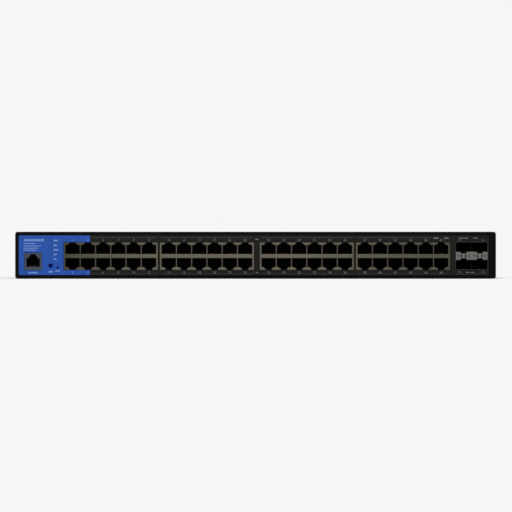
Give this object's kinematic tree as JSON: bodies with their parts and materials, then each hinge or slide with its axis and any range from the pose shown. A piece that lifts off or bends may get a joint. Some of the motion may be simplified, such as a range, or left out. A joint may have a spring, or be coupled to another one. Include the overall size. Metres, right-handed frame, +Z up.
{
  "type": "rackmount network switch",
  "caption": "Rackmount Ethernet switch, one rack unit high, with stacked copper ports, optical module ports, a console port, side fans and a rear mains inlet.",
  "frame": {"origin": "on the resting plane, under the centre of the overall box", "axes": "+X right seen from the front, +Y from the port side to the rear wall, +Z up"},
  "size_m": [0.44, 0.259, 0.043],
  "materials": {
    "coated_steel": "fine black powder coat",
    "label_blue": "printed satin overlay, blue",
    "label_black": "printed satin overlay, charcoal",
    "blank_label": "blank satin polyester label",
    "zinc_screw": "zinc plated steel",
    "black_screw": "black zinc plated steel",
    "nickel_shield": "nickel plated copper alloy sheet",
    "cage_metal": "nickel silver sheet",
    "jack_plastic": "moulded black nylon",
    "gold_contact": "gold plated phosphor bronze",
    "light_pipe": "clear polycarbonate, slightly milky",
    "button_plastic": "moulded dark blue acetal",
    "switch_plastic": "moulded black nylon",
    "pcb_green": "green solder mask over glass epoxy",
    "chip_black": "moulded epoxy",
    "fin_aluminium": "extruded and clear anodised",
    "component_can": "sleeved can",
    "ferrite": "ferrite block",
    "winding": "taped copper winding",
    "choke_core": "coated ring core with enamelled wire",
    "header_plastic": "moulded natural nylon",
    "insulator_sheet": "polypropylene sheet",
    "inlet_plastic": "moulded black thermoplastic",
    "blade_metal": "nickel plated brass",
    "fan_plastic": "glass filled black plastic",
    "rotor_plastic": "moulded black plastic",
    "lead_red": "insulated lead",
    "lead_black": "insulated lead"
  },
  "bodies": {
    "chassis": {"ac_inlet_body": "inlet_plastic", "ac_inlet_pins": "blade_metal", "ac_inlet_screws": "zinc_screw", "asic_heatsink": "fin_aluminium", "base_tray": "coated_steel", "board_capacitors": "component_can", "board_chips": "chip_black", "console_contacts": "gold_contact", "console_housing": "jack_plastic", "console_shield": "nickel_shield", "cover_rear_screws": "black_screw", "cover_side_screws": "black_screw", "ear_clinch_nuts": "zinc_screw", "fan_frame_1": "fan_plastic", "fan_frame_2": "fan_plastic", "fan_leads": "lead_red", "fan_screws": "black_screw", "fan_stators": "winding", "front_panel": "coated_steel", "ground_screw": "zinc_screw", "jack_contacts": "gold_contact", "jack_housing_1": "jack_plastic", "jack_housing_2": "jack_plastic", "jack_housing_3": "jack_plastic", "jack_housing_4": "jack_plastic", "jack_inserts": "jack_plastic", "jack_shield_1": "nickel_shield", "jack_shield_2": "nickel_shield", "jack_shield_3": "nickel_shield", "jack_shield_4": "nickel_shield", "label_black": "label_black", "label_blue": "label_blue", "magnetics_modules": "chip_black", "main_pcb": "pcb_green", "mode_switch_body": "switch_plastic", "pcb_headers": "header_plastic", "pcb_screws": "zinc_screw", "pcb_standoffs": "zinc_screw", "phy_heatsinks": "fin_aluminium", "power_inductors": "ferrite", "power_leads": "lead_black", "psu_board": "pcb_green", "psu_bulk_capacitor": "component_can", "psu_choke": "choke_core", "psu_heatsinks": "fin_aluminium", "psu_insulator": "insulator_sheet", "psu_transformer": "winding", "rating_label": "blank_label", "reset_switch_body": "switch_plastic", "sfp_cage": "cage_metal", "sfp_face_strip": "cage_metal", "sfp_host_connectors": "jack_plastic", "sfp_light_pipes": "light_pipe", "status_light_pipe": "light_pipe", "switch_asic": "chip_black", "top_cover": "coated_steel"},
    "mode_button": {"mode_button": "button_plastic"},
    "reset_button": {"reset_button": "button_plastic"},
    "fan_rotor_1": {"fan_rotor_1": "rotor_plastic"},
    "fan_rotor_2": {"fan_rotor_2": "rotor_plastic"}
  },
  "joints": [
    {"name": "mode_press", "type": "slide", "parent": "chassis", "child": "mode_button", "axis": [0, 1, 0], "range_m": [0, 0.0004], "stiffness_N_per_m": 2500, "springref_m": -0.0002},
    {"name": "reset_press", "type": "slide", "parent": "chassis", "child": "reset_button", "axis": [0, 1, 0], "range_m": [0, 0.0004], "stiffness_N_per_m": 2500, "springref_m": -0.0002},
    {"name": "fan_spin_1", "type": "hinge", "parent": "chassis", "child": "fan_rotor_1", "pos_m": [0.2079, -0.045, 0.0212], "axis": [1, 0, 0], "continuous": true},
    {"name": "fan_spin_2", "type": "hinge", "parent": "chassis", "child": "fan_rotor_2", "pos_m": [0.2079, 0.005, 0.0212], "axis": [1, 0, 0], "continuous": true}
  ]
}
